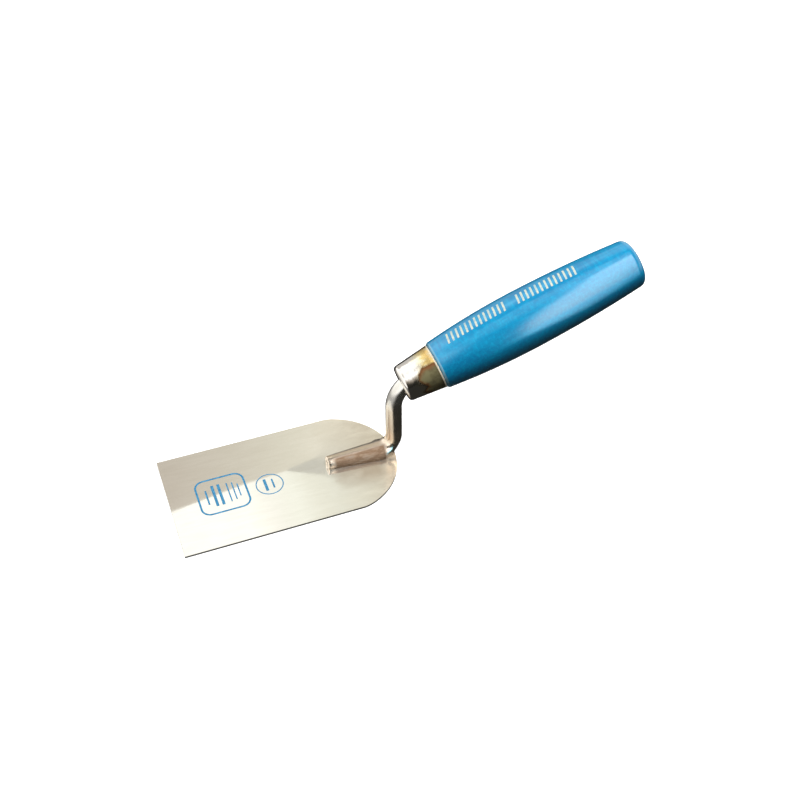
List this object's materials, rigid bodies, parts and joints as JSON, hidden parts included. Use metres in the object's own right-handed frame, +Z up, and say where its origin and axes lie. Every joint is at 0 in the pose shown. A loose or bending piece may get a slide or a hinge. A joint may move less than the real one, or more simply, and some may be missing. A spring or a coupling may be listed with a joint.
{
  "type": "margin trowel",
  "caption": "Hand trowel with a flat rectangular steel blade, rounded heel, gooseneck tang, tapered ferrule and turned lacquered wooden grip.",
  "frame": {"origin": "middle of the blade's flat underside, halfway along its length on the centreline", "axes": "+X from the blade's straight front edge towards the handle's butt, +Y across the blade to the left when looking along +X, +Z up out of the blade on the handle's side"},
  "size_m": [0.2258, 0.06, 0.0884],
  "materials": {
    "blade_steel": "cold-rolled stainless sheet, satin polished along its length, ground edges",
    "weld_steel": "fused weld metal, dull",
    "tang_steel": "forged and polished round rod with brown heat tint on the foot",
    "ferrule_steel": "deep-drawn steel cup, bright polished",
    "lacquered_wood": "turned hardwood under translucent blue gloss lacquer"
  },
  "bodies": {
    "root": {"blade": "blade_steel", "weld_nugget_front": "weld_steel", "weld_nugget_middle": "weld_steel", "weld_nugget_rear": "weld_steel", "tang": "tang_steel", "ferrule": "ferrule_steel", "handle": "lacquered_wood"}
  },
  "joints": []
}
